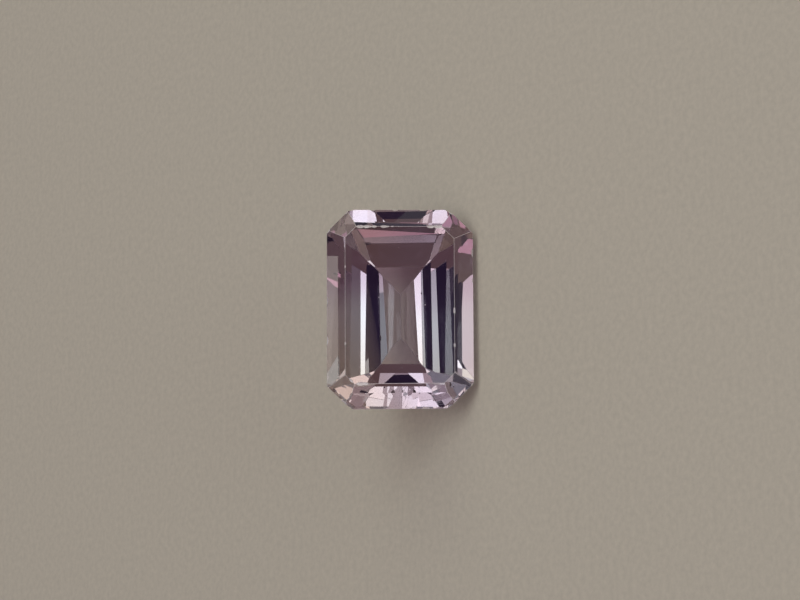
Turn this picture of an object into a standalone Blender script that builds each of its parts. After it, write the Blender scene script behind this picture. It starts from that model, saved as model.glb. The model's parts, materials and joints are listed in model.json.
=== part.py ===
"""A step-cut ametrine: one loose faceted stone, lying on a long facet of its pavilion.

The stone is cut as a lapidary cuts it. A block of rough is given a table, a girdle outline, then steps of
crown facets above the girdle and steps of pavilion facets below it, one flat cut for each facet. It is cut
table up with the keel along Y, in millimetres, and is then scaled to metres and tipped over onto one facet.
"""

import math

import bmesh
import bpy
from mathutils import Matrix, Vector

MM = 0.001

# Headings of the facets, in degrees from +X, seen from above the table
RIGHT, HEAD, LEFT, FOOT = 0.0, 90.0, 180.0, 270.0
CORNERS = {"head right": 45.0, "head left": 135.0, "foot left": 225.0, "foot right": 315.0}

# Girdle outline, in mm from the keel, and how far each wall is turned off square, in degrees
HALF_WIDTH = 3.03
HALF_LENGTH = 4.21
CORNER_CUT = {"head right": 1.05, "head left": 0.97, "foot left": 0.94, "foot right": 1.02}
GIRDLE_TURN = {RIGHT: -0.5, HEAD: -1.0, LEFT: -0.3, FOOT: -0.2}

# Crown, in mm above the girdle plane. Two steps meet at a break: how far each heading's break is inside
# the girdle wall, and the angles of the step below it and the step above it from the girdle plane.
BREAK_HEIGHT = 0.32
TABLE_HEIGHT = 0.52
CROWN_STEPS = {
    RIGHT: (0.48, 37.6, 33.7),
    HEAD: (0.54, 36.5, 30.7),
    LEFT: (0.48, 37.6, 33.7),
    FOOT: (0.57, 42.3, 29.3),
}
CROWN_CORNER_STEPS = (0.47, 34.2, 31.2)

# Keel, in mm: how deep it lies below the girdle plane, and how far each end is from the middle
KEEL_DEPTH = 3.33
KEEL_END = {RIGHT: 0.0, HEAD: 1.00, LEFT: 0.0, FOOT: 0.90}

# Pavilion steps from the keel out: how wide each is in plan, in mm, its angle from the girdle plane, and
# how far it is turned off square. The last step has no width, since it runs out to the girdle.
PAVILION_STEPS = {
    RIGHT: ((0.25, 28.3, -0.3), (0.39, 35.1, -0.2), (0.66, 40.5, 0.3), (0.59, 46.6, 0.3), (None, 51.4, 0.0)),
    HEAD: ((0.33, 29.0, 0.0), (0.73, 36.8, -0.2), (1.31, 48.9, 0.0), (None, 51.3, -0.3)),
    LEFT: ((0.30, 24.9, 0.0), (0.35, 34.9, -0.8), (0.80, 40.5, -0.1), (0.61, 48.8, -0.4), (None, 54.2, -0.6)),
    FOOT: ((1.16, 25.4, 0.4), (0.42, 36.3, 0.0), (1.22, 47.0, -0.3), (None, 60.6, -1.1)),
}

# Corner facets of the pavilion from the girdle in: how wide each is in plan, and its angle
CORNER_GIRDLE = 0.05
CORNER_STEPS = ((0.42, 62.5), (1.21, 49.1), (None, 39.0))

# The facet that the stone lies on: the right side's fourth step from the keel
REST_SIDE, REST_STEP = RIGHT, 3

# Facet corners closer than this, in mm, are one point
WELD = 0.005


def plan_direction(heading):
    """The level direction that a facet with this heading faces."""
    turn = math.radians(heading)
    return Vector((math.cos(turn), math.sin(turn), 0.0))


def cut_facet(rough, heading, out, height, angle, up, turn=0.0):
    """Grinds one flat: it leans angle degrees from level, and passes the point out from the axis at height.

    up is 1 for a crown facet, -1 for a pavilion facet. Returns the facet's outward normal."""
    lean = math.radians(angle)
    normal = plan_direction(heading + turn) * math.sin(lean)
    normal.z = up * math.cos(lean)
    point = plan_direction(heading) * out
    point.z = height
    parts = rough.verts[:] + rough.edges[:] + rough.faces[:]
    ground = bmesh.ops.bisect_plane(
        rough, geom=parts, dist=1e-6, plane_co=point, plane_no=normal, clear_outer=True
    )
    rim = [part for part in ground["geom_cut"] if isinstance(part, bmesh.types.BMEdge)]
    bmesh.ops.contextual_create(rough, geom=rim)
    return normal


def cut_outline(rough):
    """The upright girdle. The head has none: its crown and pavilion meet in an edge."""
    for heading in (RIGHT, LEFT, FOOT):
        cut_facet(rough, heading, side_reach(heading), 0.0, 90.0, -1, GIRDLE_TURN[heading])
    for corner, heading in CORNERS.items():
        cut_facet(rough, heading, corner_reach(corner), 0.0, 90.0, -1)


def corner_reach(corner):
    """How far a corner's girdle facet is from the axis."""
    return (HALF_WIDTH + HALF_LENGTH - CORNER_CUT[corner]) * math.sqrt(0.5)


def side_reach(heading):
    """How far a side's or end's girdle facet is from the axis."""
    return HALF_WIDTH if heading in (RIGHT, LEFT) else HALF_LENGTH


def cut_crown(rough):
    """The table and two steps of facets round it."""
    cut_facet(rough, RIGHT, 0.0, TABLE_HEIGHT, 0.0, 1)
    reaches = [(heading, side_reach(heading), steps) for heading, steps in CROWN_STEPS.items()]
    reaches += [(CORNERS[name], corner_reach(name), CROWN_CORNER_STEPS) for name in CORNERS]
    for heading, reach, (inset, *angles) in reaches:
        for angle in angles:
            turn = GIRDLE_TURN.get(heading, 0.0)
            cut_facet(rough, heading, reach - inset, BREAK_HEIGHT, angle, 1, turn)


def cut_pavilion(rough):
    """The steps below the girdle. Returns the normal of the facet that the stone lies on."""
    rest = None
    for heading, steps in PAVILION_STEPS.items():
        out, height = KEEL_END[heading], -KEEL_DEPTH
        for number, (width, angle, turn) in enumerate(steps):
            normal = cut_facet(rough, heading, out, height, angle, -1, turn)
            if (heading, number) == (REST_SIDE, REST_STEP):
                rest = normal
            if width is not None:
                out += width
                height += width * math.tan(math.radians(angle))
    for corner, heading in CORNERS.items():
        out, height = corner_reach(corner), -CORNER_GIRDLE
        for width, angle in CORNER_STEPS:
            cut_facet(rough, heading, out, height, angle, -1)
            if width is not None:
                out -= width
                height -= width * math.tan(math.radians(angle))
    return rest


def cut_stone():
    """The whole stone, table up, in millimetres, and the outward normal of the facet that it lies on."""
    rough = bmesh.new()
    bmesh.ops.create_cube(rough, size=4 * HALF_LENGTH)
    cut_outline(rough)
    cut_crown(rough)
    rest = cut_pavilion(rough)
    bmesh.ops.remove_doubles(rough, verts=rough.verts[:], dist=WELD)
    bmesh.ops.recalc_face_normals(rough, faces=rough.faces[:])
    return rough, rest


def lay_down(rest):
    """The turn that brings the rest facet underneath, with the table leaning towards -Y."""
    tip = rest.rotation_difference(Vector((0.0, 0.0, -1.0))).to_matrix()
    table = tip @ Vector((0.0, 0.0, 1.0))
    spin = Matrix.Rotation(-math.pi / 2 - math.atan2(table.y, table.x), 3, "Z")
    return spin @ tip


def stone_material():
    """Polished quartz, pale lilac, clear."""
    material = bpy.data.materials.new("ametrine quartz")
    material.use_nodes = True
    shader = material.node_tree.nodes["Principled BSDF"]
    shader.inputs["Base Color"].default_value = (0.80, 0.70, 0.76, 1.0)
    shader.inputs["Roughness"].default_value = 0.02
    shader.inputs["Metallic"].default_value = 0.0
    shader.inputs["IOR"].default_value = 1.548
    shader.inputs["Transmission Weight"].default_value = 1.0
    return material


def make_stone():
    """The stone's object, with the middle of its underside at the origin."""
    rough, rest = cut_stone()
    bmesh.ops.transform(rough, matrix=lay_down(rest).to_4x4() * MM, verts=rough.verts[:])
    low = [min(vert.co[axis] for vert in rough.verts) for axis in range(3)]
    high = [max(vert.co[axis] for vert in rough.verts) for axis in range(3)]
    middle = Vector(((low[0] + high[0]) / 2, (low[1] + high[1]) / 2, low[2]))
    bmesh.ops.translate(rough, vec=-middle, verts=rough.verts[:])
    mesh = bpy.data.meshes.new("ametrine")
    rough.to_mesh(mesh)
    rough.free()
    mesh.materials.append(stone_material())
    return bpy.data.objects.new("ametrine", mesh)


def main():
    for old in list(bpy.context.scene.objects):
        bpy.data.objects.remove(old, do_unlink=True)
    collection = bpy.data.collections.new("step-cut ametrine")
    bpy.context.scene.collection.children.link(collection)
    collection.objects.link(make_stone())


main()
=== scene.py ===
"""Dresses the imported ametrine: the stone is ground again facet by facet, worn, tinted and lit.

The stone is modelled in millimetres and scaled to metres at the end, because its wear is finer than what
Blender's mesh tools can weld or cut in metres. The rest is in metres unless a comment says otherwise.
"""
import json
import math
import random

import bpy
from mathutils import Matrix, Quaternion, Vector


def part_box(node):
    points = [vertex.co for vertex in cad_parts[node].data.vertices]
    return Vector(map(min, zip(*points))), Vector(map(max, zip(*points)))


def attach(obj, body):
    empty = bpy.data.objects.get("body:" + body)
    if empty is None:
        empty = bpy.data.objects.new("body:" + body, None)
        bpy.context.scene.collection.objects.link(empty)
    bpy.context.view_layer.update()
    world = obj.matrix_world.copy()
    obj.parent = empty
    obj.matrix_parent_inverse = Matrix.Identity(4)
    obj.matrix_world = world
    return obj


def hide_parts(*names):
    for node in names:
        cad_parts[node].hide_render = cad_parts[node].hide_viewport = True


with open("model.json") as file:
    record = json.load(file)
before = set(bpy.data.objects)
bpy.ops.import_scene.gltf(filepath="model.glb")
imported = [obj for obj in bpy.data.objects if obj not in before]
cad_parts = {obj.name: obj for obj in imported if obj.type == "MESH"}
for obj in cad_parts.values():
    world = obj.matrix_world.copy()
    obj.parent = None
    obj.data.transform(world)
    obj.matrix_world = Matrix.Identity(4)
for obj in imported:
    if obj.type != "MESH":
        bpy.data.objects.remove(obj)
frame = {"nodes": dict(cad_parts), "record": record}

bl_info = {
    "name": "Step-cut ametrine",
    "version": (1, 0, 0),
    "blender": (4, 5, 0),
    "location": "3D View > Sidebar > Ametrine",
    "description": "Grinds, wears, tints and lights a loose step-cut ametrine",
    "category": "Object",
}

NODE = "ametrine"
MM = 0.001
LOW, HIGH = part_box(NODE)
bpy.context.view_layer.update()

# The stone's own axes in the frame, and the middle of its girdle in mm
TABLE_FACING = Vector(next(m["axis"] for m in frame["record"]["mounts"] if m["name"] == "table"))
HEADWARD = Vector((1.0, 0.0, 0.0))
ACROSS = HEADWARD.cross(TABLE_FACING)
GIRDLE_MIDDLE = Vector((0.0, -0.29, 2.56))

QUARTZ_IOR = 1.548

# In degrees: triangles this close are one facet, a worn face is turned this far from every facet, and an
# edge sharper than this is worn, which leaves out the edges from step to step
SAME_FACET = 0.3
OFF_FACET = 0.5
WORN_EDGE = 20.0

# Points closer than this, in mm, are one corner of the stone
WELD = 0.005

# How many chips each rim has: on an edge at the head, on any other long edge, and on a short one, and how
# long a long edge is, in mm
CHIPS = {"table": (18, 3, 1), "girdle": (4, 3, 1)}
LONG_EDGE = 1.5
# A power that crowds the chips at the head towards the left, and how long a chip is for its width
CROWDING = 2.5
CHIP_LENGTH = 2.0


def linear(code):
    """An sRGB hex colour such as "#C8A0B4" as linear red, green and blue."""
    parts = [int(code[at:at + 2], 16) / 255 for at in (1, 3, 5)]
    return [part / 12.92 if part <= 0.04045 else ((part + 0.055) / 1.055) ** 2.4 for part in parts]


def add_node(tree, kind, settings=None, inputs=None):
    """One node. Settings are its attributes, and inputs are values or sockets by input name or number."""
    new = tree.nodes.new(kind)
    for name, value in (settings or {}).items():
        setattr(new, name, value)
    for name, value in (inputs or {}).items():
        if isinstance(value, bpy.types.NodeSocket):
            tree.links.new(value, new.inputs[name])
        else:
            new.inputs[name].default_value = value
    return new


def new_material(name):
    """A material of this name, with its node tree and its shader."""
    material = bpy.data.materials.new(name)
    material.use_nodes = True
    return material, material.node_tree, material.node_tree.nodes["Principled BSDF"]


class StoneSettings(bpy.types.PropertyGroup):
    """Wear and colours of the stone."""

    edge_wear: bpy.props.FloatProperty(
        name="Edge wear",
        description="How far wear reaches to each side of the table, girdle and corner edges",
        default=0.012 * MM, min=0.0, unit="LENGTH", precision=6)
    nick_size: bpy.props.FloatProperty(
        name="Nick size", description="Half the width of the largest chip along the edges",
        default=0.12 * MM, min=0.0, unit="LENGTH", precision=6)
    body_colour: bpy.props.FloatVectorProperty(
        name="Body colour", description="Quartz in the middle of the stone", subtype="COLOR",
        default=linear("#F3EBF4"))
    head_colour: bpy.props.FloatVectorProperty(
        name="Head colour", description="Amethyst zone at the head", subtype="COLOR",
        default=linear("#E0CBDB"))
    foot_colour: bpy.props.FloatVectorProperty(
        name="Foot colour", description="Citrine zone at one corner of the foot", subtype="COLOR",
        default=linear("#FBEAC6"))


class StageSettings(bpy.types.PropertyGroup):
    """Floor, room and camera."""

    floor_colour: bpy.props.FloatVectorProperty(
        name="Floor colour", description="Matt card under the stone", subtype="COLOR",
        default=linear("#E7DDD2"))
    room_colour: bpy.props.FloatVectorProperty(
        name="Room colour", description="The dim room between the lamps", subtype="COLOR",
        default=linear("#D4B2FF"))
    room_light: bpy.props.FloatProperty(
        name="Room light", description="Brightness of the dim room between the lamps",
        default=0.038, min=0.0)
    backdrop_colour: bpy.props.FloatVectorProperty(
        name="Backdrop colour", description="What the camera sees past the floor", subtype="COLOR",
        default=linear("#867E76"))
    camera_distance: bpy.props.FloatProperty(
        name="Camera distance", description="From the lens to the stone",
        default=127 * MM, unit="LENGTH")
    focal_length: bpy.props.FloatProperty(
        name="Focal length", description="Lens, in millimetres on a 36 mm sensor",
        default=138.3, unit="CAMERA")


def start_clean():
    """Nothing selected and object mode, because an operator acts on all that is selected."""
    if bpy.context.object and bpy.context.object.mode != "OBJECT":
        bpy.ops.object.mode_set(mode="OBJECT")
    bpy.ops.object.select_all(action="DESELECT")


def take(piece):
    """Makes this the only object that is selected."""
    start_clean()
    piece.select_set(True)
    bpy.context.view_layer.objects.active = piece


def facet_planes(node):
    """Point, in mm, and outward normal of each facet of a CAD node, whose mesh is triangles."""
    facets = []
    for face in sorted(node.data.polygons, key=lambda face: -face.area):
        if turned_from_all(face.normal, facets, SAME_FACET):
            facets.append((face.center / MM, face.normal.copy()))
    return facets


def turned_from_all(direction, facets, angle):
    """Whether a direction is angle degrees or more from every facet's normal."""
    return all(direction.angle(normal) >= math.radians(angle) for point, normal in facets)


def rise(normal):
    """How far a face looks towards where the table faces: 1 for the table, less for the crown."""
    return normal.dot(TABLE_FACING)


def rim_edges(stone):
    """The table's edges and the girdle's upper edges: each one's ends and the way its outer facet faces."""
    faces_at = {}
    for face in stone.data.polygons:
        for key in face.edge_keys:
            faces_at.setdefault(key, []).append(face.normal)
    rims = {"table": [], "girdle": []}
    for key, normals in faces_at.items():
        outer, inner = sorted(normals, key=rise)
        ends = [stone.data.vertices[at].co.copy() for at in key]
        if rise(inner) > 0.99:
            rims["table"].append((ends, outer.copy()))
        elif rise(inner) > 0.5 > rise(outer):
            rims["girdle"].append((ends, outer.copy()))
    return rims


class AMETRINE_OT_cut_stone(bpy.types.Operator):
    """Grinds the stone from a block of rough, wears and nicks its edges and gives it its quartz"""

    bl_idname = "ametrine.cut_stone"
    bl_label = "Cut stone"

    def execute(self, context):
        settings = context.scene.ametrine_stone
        facets = facet_planes(frame["nodes"][NODE])
        stone = self.grind(context, facets)
        chips = self.draw_chips(stone, settings.nick_size / MM)
        self.wear_edges(stone, settings.edge_wear / MM)
        self.knock_out(stone, chips)
        take(stone)
        stone.scale = (MM, MM, MM)
        bpy.ops.object.transform_apply(location=False, rotation=False, scale=True)
        bpy.ops.object.shade_flat()
        self.give_surfaces(stone, facets, settings)
        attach(stone, "root")
        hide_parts(NODE)
        return {"FINISHED"}

    def grind(self, context, facets):
        """A block of rough with one flat ground on it for each facet."""
        start_clean()
        block = 3 * (HIGH - LOW).length / MM
        bpy.ops.mesh.primitive_cube_add(size=block, location=GIRDLE_MIDDLE)
        bpy.ops.object.transform_apply(location=True, rotation=True, scale=True)
        stone = context.object
        stone.name = stone.data.name = "ametrine_stone"
        bpy.ops.object.mode_set(mode="EDIT")
        for point, normal in facets:
            bpy.ops.mesh.select_all(action="SELECT")
            bpy.ops.mesh.bisect(
                plane_co=point, plane_no=normal, use_fill=True, clear_outer=True, threshold=1e-5)
        bpy.ops.mesh.select_all(action="SELECT")
        bpy.ops.mesh.remove_doubles(threshold=WELD)
        bpy.ops.mesh.normals_make_consistent(inside=False)
        bpy.ops.object.mode_set(mode="OBJECT")
        return stone

    def draw_chips(self, stone, largest):
        """Place, half width and turn of each long shallow chip along the table's and the girdle's edges."""
        chance = random.Random(11)
        chips = []
        for rim, edges in rim_edges(stone).items():
            on_head, on_long, on_short = CHIPS[rim]
            for ends, outer in edges:
                ends.sort(key=lambda end: end.dot(ACROSS))
                along_edge = ends[1] - ends[0]
                at_head = outer.dot(HEADWARD) > 0.4 and abs(outer.dot(ACROSS)) < 0.2
                count = on_head if at_head else on_long if along_edge.length > LONG_EDGE else on_short
                for _ in range(count):
                    share = chance.random() ** (CROWDING if at_head else 1.0)
                    radius = largest * chance.uniform(0.25, 1.0) ** 1.5
                    spot = ends[0] + along_edge * (0.03 + 0.94 * share)
                    # Its middle is out in the air, so that only a shallow bite is taken
                    spot += (outer + TABLE_FACING).normalized() * radius * 0.5
                    roll = Quaternion((1, 0, 0), chance.uniform(0, 3))
                    turn = along_edge.to_track_quat("X", "Z") @ roll
                    chips.append((spot, radius, turn.to_euler()))
        return chips

    def wear_edges(self, stone, wear):
        """A hairline of wear on every edge that is sharper than those from step to step."""
        take(stone)
        bpy.ops.object.mode_set(mode="EDIT")
        bpy.ops.mesh.select_mode(type="EDGE")
        bpy.ops.mesh.select_all(action="DESELECT")
        bpy.ops.mesh.edges_select_sharp(sharpness=math.radians(WORN_EDGE))
        bpy.ops.mesh.bevel(offset=wear, segments=1, affect="EDGES", clamp_overlap=True)
        bpy.ops.object.mode_set(mode="OBJECT")

    def knock_out(self, stone, chips):
        """Takes each chip out of the stone, one by one, which keeps the mesh closed where chips overlap."""
        for spot, radius, turn in chips:
            start_clean()
            bpy.ops.mesh.primitive_ico_sphere_add(
                subdivisions=2, radius=radius, location=spot, rotation=turn, scale=(CHIP_LENGTH, 1.0, 1.0))
            tool = bpy.context.object
            take(stone)
            cut = stone.modifiers.new("chip", "BOOLEAN")
            cut.operation, cut.solver, cut.object = "DIFFERENCE", "MANIFOLD", tool
            bpy.ops.object.modifier_apply(modifier=cut.name)
            bpy.data.objects.remove(tool, do_unlink=True)

    def give_surfaces(self, stone, facets, settings):
        """Polish on the facets, and a broken surface on all that is worn or chipped."""
        stone.data.materials.clear()
        stone.data.materials.append(polished_quartz(settings))
        stone.data.materials.append(broken_quartz())
        for face in stone.data.polygons:
            face.material_index = 1 if turned_from_all(face.normal, facets, OFF_FACET) else 0


def colour_zones(tree, point, settings):
    """The body colour, and over it two zones with soft borders: amethyst at the head, citrine at the foot."""
    # Along which axis each zone lies, and how far out, in mm, it starts and is full
    zones = (
        (HEADWARD - 0.15 * ACROSS, 0.3, 1.8, settings.head_colour),
        (-0.7 * HEADWARD - 0.9 * ACROSS, 1.2, 4.2, settings.foot_colour),
    )
    colour = (*settings.body_colour, 1.0)
    for axis, start, full, tint in zones:
        along = add_node(tree, "ShaderNodeVectorMath", {"operation": "DOT_PRODUCT"}, {0: point, 1: axis})
        amount = add_node(tree, "ShaderNodeMapRange", {"interpolation_type": "SMOOTHSTEP"}, {
            "Value": along.outputs["Value"], "From Min": start, "From Max": full})
        # Inputs 6 and 7 and output 2 are the colours of this node
        colour = add_node(tree, "ShaderNodeMix", {"data_type": "RGBA", "blend_type": "MULTIPLY"}, {
            0: amount.outputs["Result"], 6: colour, 7: (*tint, 1.0)}).outputs[2]
    return colour


def pits(tree, point):
    """About one cell of 0.35 mm in five has a pit, up to 0.05 mm across, drawn coarse enough to show."""
    cells = add_node(tree, "ShaderNodeTexVoronoi", {"feature": "F1"}, {"Vector": point, "Scale": 1 / 0.35})
    lot = add_node(tree, "ShaderNodeSeparateColor", None, {0: cells.outputs["Color"]})
    reach = add_node(tree, "ShaderNodeMapRange", None, {
        "Value": lot.outputs[0], "From Min": 0.8, "From Max": 1.0, "To Min": 0.0, "To Max": 0.07})
    return add_node(tree, "ShaderNodeMath", {"operation": "LESS_THAN"}, {
        0: cells.outputs["Distance"], 1: reach.outputs["Result"]}).outputs[0]


def keel_haze(tree, point):
    """The keel has rubbed against papers and trays, in scratches about 0.05 mm wide that run along it."""
    # Where the haze starts and is full, in mm: down at the keel, and short of both its ends
    borders = ((TABLE_FACING, -3.0, -3.25), (HEADWARD, -0.9, -0.5), (HEADWARD, 1.0, 0.6))
    keel = 1.0
    for axis, start, full in borders:
        along = add_node(tree, "ShaderNodeVectorMath", {"operation": "DOT_PRODUCT"}, {0: point, 1: axis})
        keel = add_node(tree, "ShaderNodeMapRange", {"interpolation_type": "SMOOTHSTEP"}, {
            "Value": along.outputs["Value"],
            "From Min": start, "From Max": full, "To Max": keel}).outputs["Result"]
    # Marks to the millimetre: few along the keel, and many across it
    run = add_node(tree, "ShaderNodeVectorMath", {"operation": "MULTIPLY"}, {0: point, 1: (1.5, 20.0, 20.0)})
    scratch = add_node(tree, "ShaderNodeTexNoise", None, {"Vector": run.outputs["Vector"], "Scale": 1.0})
    marks = add_node(tree, "ShaderNodeMapRange", None, {
        "Value": scratch.outputs["Fac"], "From Min": 0.5, "From Max": 0.9})
    return add_node(tree, "ShaderNodeMath", {"operation": "MULTIPLY"}, {
        0: keel, 1: marks.outputs["Result"]}).outputs[0]


def polished_quartz(settings):
    """Quartz, cut and polished: clear as glass, so the eye sees lamps and floor mirrored in its steps."""
    material, tree, shader = new_material("quartz, part amethyst, part citrine, polished")
    shader.inputs["IOR"].default_value = QUARTZ_IOR
    shader.inputs["Transmission Weight"].default_value = 1.0
    # The place on the stone in mm, from the middle of its girdle
    point = add_node(tree, "ShaderNodeVectorMath", {"operation": "MULTIPLY_ADD"}, {
        0: add_node(tree, "ShaderNodeTexCoord").outputs["Object"],
        1: (1 / MM, 1 / MM, 1 / MM),
        2: -GIRDLE_MIDDLE}).outputs["Vector"]
    tree.links.new(colour_zones(tree, point, settings), shader.inputs["Base Color"])
    marked = add_node(tree, "ShaderNodeMath", {"operation": "MAXIMUM", "use_clamp": True}, {
        0: pits(tree, point), 1: keel_haze(tree, point)})
    rough = add_node(tree, "ShaderNodeMath", {"operation": "MULTIPLY"}, {0: marked.outputs[0], 1: 0.6})
    tree.links.new(rough.outputs[0], shader.inputs["Roughness"])
    # The body drinks a little light over its few millimetres, green most of all
    body = add_node(tree, "ShaderNodeVolumeAbsorption", None, {
        "Color": (0.28, 0.2, 0.38, 1.0), "Density": 50.0})
    tree.links.new(body.outputs["Volume"], tree.nodes["Material Output"].inputs["Volume"])
    return material


def broken_quartz():
    """Quartz, chipped or worn: the break isn't polished, so the eye sees a pale frosted fleck or hairline."""
    material, tree, shader = new_material("quartz, chipped and worn")
    shader.inputs["Base Color"].default_value = (*linear("#FBF4FA"), 1.0)
    shader.inputs["IOR"].default_value = QUARTZ_IOR
    shader.inputs["Transmission Weight"].default_value = 0.4
    # Ripples of the break, about 0.05 mm apart
    point = add_node(tree, "ShaderNodeTexCoord").outputs["Object"]
    ripple = add_node(tree, "ShaderNodeTexNoise", None, {"Vector": point, "Scale": 1 / (0.05 * MM)})
    rough = add_node(tree, "ShaderNodeMapRange", None, {
        "Value": ripple.outputs["Fac"], "From Min": 0.3, "From Max": 0.7, "To Min": 0.2, "To Max": 0.6})
    tree.links.new(rough.outputs["Result"], shader.inputs["Roughness"])
    return material


def matt_card(settings):
    """Matt card: it scatters light evenly, so the eye sees a quiet ground, with no gloss."""
    material, tree, shader = new_material("matt card")
    # Fibres of about 0.25 mm make the card a little uneven
    place = add_node(tree, "ShaderNodeTexCoord").outputs["Object"]
    fibres = add_node(tree, "ShaderNodeTexNoise", None, {
        "Vector": place, "Scale": 1 / (0.25 * MM), "Detail": 3.0, "Roughness": 0.6})
    shade = add_node(tree, "ShaderNodeMapRange", None, {
        "Value": fibres.outputs["Fac"], "From Min": 0.3, "From Max": 0.7, "To Min": 0.9, "To Max": 1.0})
    card = add_node(tree, "ShaderNodeVectorMath", {"operation": "SCALE"}, {
        0: settings.floor_colour, "Scale": shade.outputs["Result"]})
    tree.links.new(card.outputs["Vector"], shader.inputs["Base Color"])
    shader.inputs["Roughness"].default_value = 0.9
    shader.inputs["Specular IOR Level"].default_value = 0.0
    return material


DAYLIGHT, CREAM, WARM, PEACH, ROSE = "#F1FFF5", "#FFFFE6", "#FFF7EE", "#FFDEBE", "#FFCFD9"

# Soft lamps, all in degrees as the stone sees them. The first two angles place the middle of each: up from
# the front and over the top, and towards the head. The others are its twist, half its width and half its
# height. Then come its brightness, where 1 is white, and its colour.
LAMPS = {
    "overhead": (80, 15, -20, 30, 10, 1.3, DAYLIGHT),
    "overhead wing": (85, -10, -50, 30, 20, 0.45, WARM),
    "lamp behind": (120, 10, 0, 4, 3, 2.5, WARM),
    "wall behind": (155, 15, 35, 8, 8, 0.8, WARM),
    "upper front": (65, 0, 45, 5, 20, 0.75, DAYLIGHT),
    "small lamp": (40, 10, -40, 5, 2, 1.7, DAYLIGHT),
    "low front": (10, 0, -25, 8, 15, 1.8, DAYLIGHT),
    "dim wall": (45, -35, 0, 40, 40, 0.14, PEACH),
    "head side": (50, 30, 0, 15, 40, 0.45, WARM),
    "head end": (90, 60, 80, 20, 10, 1.2, CREAM),
    "low head side": (15, 45, 110, 20, 40, 0.35, DAYLIGHT),
    "foot end": (40, -65, -40, 30, 3, 0.6, ROSE),
}
LAMP_DISTANCE = 0.4

# The floor's size, and how far it lies under the stone, so that the two don't share a plane
FLOOR_SIZE = 0.5
FLOOR_DROP = 0.005 * MM

# What the camera looks at, in mm, and where it stands and how it leans, in degrees
CAMERA_AIM = Vector((0.311, -0.344, 2.607))
CAMERA_AZIMUTH, CAMERA_ELEVATION, CAMERA_LEAN = -106.69, 41.34, -0.96

# Light is mirrored many times between the facets before it leaves the stone
BOUNCES = 32


def lamp_placing(up, shift, twist):
    """Turn that faces a lamp to the stone, and the direction from the stone to it."""
    up, shift, twist = (math.radians(angle) for angle in (up, shift, twist))
    out = Vector((math.sin(shift), -math.cos(shift) * math.cos(up), math.cos(shift) * math.sin(up)))
    wide = (HEADWARD - HEADWARD.dot(out) * out).normalized()
    wide = Matrix.Rotation(twist, 3, out) @ wide
    return Matrix((wide, out.cross(wide), out)).transposed().to_4x4(), out


def lamp_span(half_angle):
    """How wide a lamp is that reaches half_angle degrees to each side of its middle, seen from the stone."""
    return 2 * LAMP_DISTANCE * math.tan(math.radians(half_angle))


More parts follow.
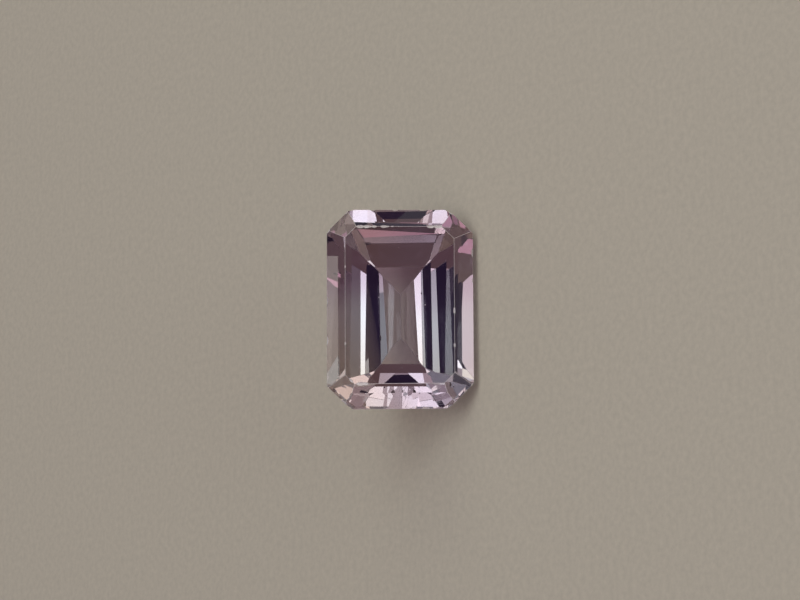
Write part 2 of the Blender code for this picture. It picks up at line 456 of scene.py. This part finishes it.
class AMETRINE_OT_set_stage(bpy.types.Operator):
    """Lays the floor, hangs the lamps and sets the camera up over the table"""

    bl_idname = "ametrine.set_stage"
    bl_label = "Set stage"

    def execute(self, context):
        settings = context.scene.ametrine_stage
        self.lay_floor(context, settings)
        self.hang_lamps(context)
        self.set_room(context, settings)
        self.set_camera(context, settings)
        cycles = context.scene.cycles
        cycles.max_bounces = cycles.glossy_bounces = cycles.transmission_bounces = BOUNCES
        cycles.sample_clamp_indirect = 0.0
        context.scene.view_settings.view_transform = "Standard"
        return {"FINISHED"}

    def lay_floor(self, context, settings):
        start_clean()
        bpy.ops.mesh.primitive_grid_add(
            x_subdivisions=8, y_subdivisions=8, size=FLOOR_SIZE, location=(0, 0, -FLOOR_DROP))
        floor = context.object
        floor.name = "floor"
        floor.data.materials.append(matt_card(settings))

    def hang_lamps(self, context):
        for name, (up, shift, twist, wide, high, brightness, colour) in LAMPS.items():
            placing, out = lamp_placing(up, shift, twist)
            data = bpy.data.lights.new(name, "AREA")
            data.shape = "RECTANGLE"
            data.size, data.size_y = lamp_span(wide), lamp_span(high)
            data.energy = brightness * math.pi * data.size * data.size_y
            data.color = linear(colour)
            lamp = bpy.data.objects.new(name, data)
            lamp.matrix_world = Matrix.Translation(out * LAMP_DISTANCE) @ placing
            lamp.visible_camera = False
            context.scene.collection.objects.link(lamp)

    def set_room(self, context, settings):
        """A dim room for the stone to mirror. The camera itself sees a plain backdrop past the floor."""
        world = bpy.data.worlds.new("room")
        world.use_nodes = True
        context.scene.world = world
        tree = world.node_tree
        room = tree.nodes["Background"]
        room.inputs["Color"].default_value = (*settings.room_colour, 1.0)
        room.inputs["Strength"].default_value = settings.room_light
        backdrop = add_node(tree, "ShaderNodeBackground", None, {"Color": (*settings.backdrop_colour, 1.0)})
        seen = add_node(tree, "ShaderNodeMixShader", None, {
            0: add_node(tree, "ShaderNodeLightPath").outputs["Is Camera Ray"],
            1: room.outputs["Background"],
            2: backdrop.outputs["Background"]})
        tree.links.new(seen.outputs["Shader"], tree.nodes["World Output"].inputs["Surface"])

    def set_camera(self, context, settings):
        """The camera looks down on the table, with the head of the stone at the top of the picture."""
        azimuth, elevation = math.radians(CAMERA_AZIMUTH), math.radians(CAMERA_ELEVATION)
        level = Vector((math.cos(azimuth), math.sin(azimuth), 0.0))
        back = level * math.cos(elevation) + Vector((0.0, 0.0, math.sin(elevation)))
        up = (HEADWARD - HEADWARD.dot(back) * back).normalized()
        up = Matrix.Rotation(math.radians(CAMERA_LEAN), 3, back) @ up
        data = bpy.data.cameras.new("camera")
        data.lens = settings.focal_length
        data.clip_start, data.clip_end = 0.001, 10.0
        camera = bpy.data.objects.new("camera", data)
        turn = Matrix((up.cross(back), up, back)).transposed().to_4x4()
        place = CAMERA_AIM * MM + back * settings.camera_distance
        camera.matrix_world = Matrix.Translation(place) @ turn
        context.scene.collection.objects.link(camera)
        context.scene.camera = camera


class AMETRINE_PT_sidebar(bpy.types.Panel):
    """The steps in order, with their settings"""

    bl_label = "Ametrine"
    bl_idname = "AMETRINE_PT_sidebar"
    bl_space_type = "VIEW_3D"
    bl_region_type = "UI"
    bl_category = "Ametrine"

    def draw(self, context):
        for group, operator in (("ametrine_stone", AMETRINE_OT_cut_stone),
                                ("ametrine_stage", AMETRINE_OT_set_stage)):
            settings = getattr(context.scene, group)
            for name in settings.bl_rna.properties.keys():
                if name not in ("rna_type", "name"):
                    self.layout.prop(settings, name)
            self.layout.operator(operator.bl_idname)


CLASSES = (StoneSettings, StageSettings, AMETRINE_OT_cut_stone, AMETRINE_OT_set_stage, AMETRINE_PT_sidebar)


def register():
    for each in CLASSES:
        bpy.utils.register_class(each)
    bpy.types.Scene.ametrine_stone = bpy.props.PointerProperty(type=StoneSettings)
    bpy.types.Scene.ametrine_stage = bpy.props.PointerProperty(type=StageSettings)


def unregister():
    del bpy.types.Scene.ametrine_stage
    del bpy.types.Scene.ametrine_stone
    for each in reversed(CLASSES):
        bpy.utils.unregister_class(each)


def main():
    register()
    bpy.ops.ametrine.cut_stone()
    bpy.ops.ametrine.set_stage()


if __name__ == "__main__":
    main()
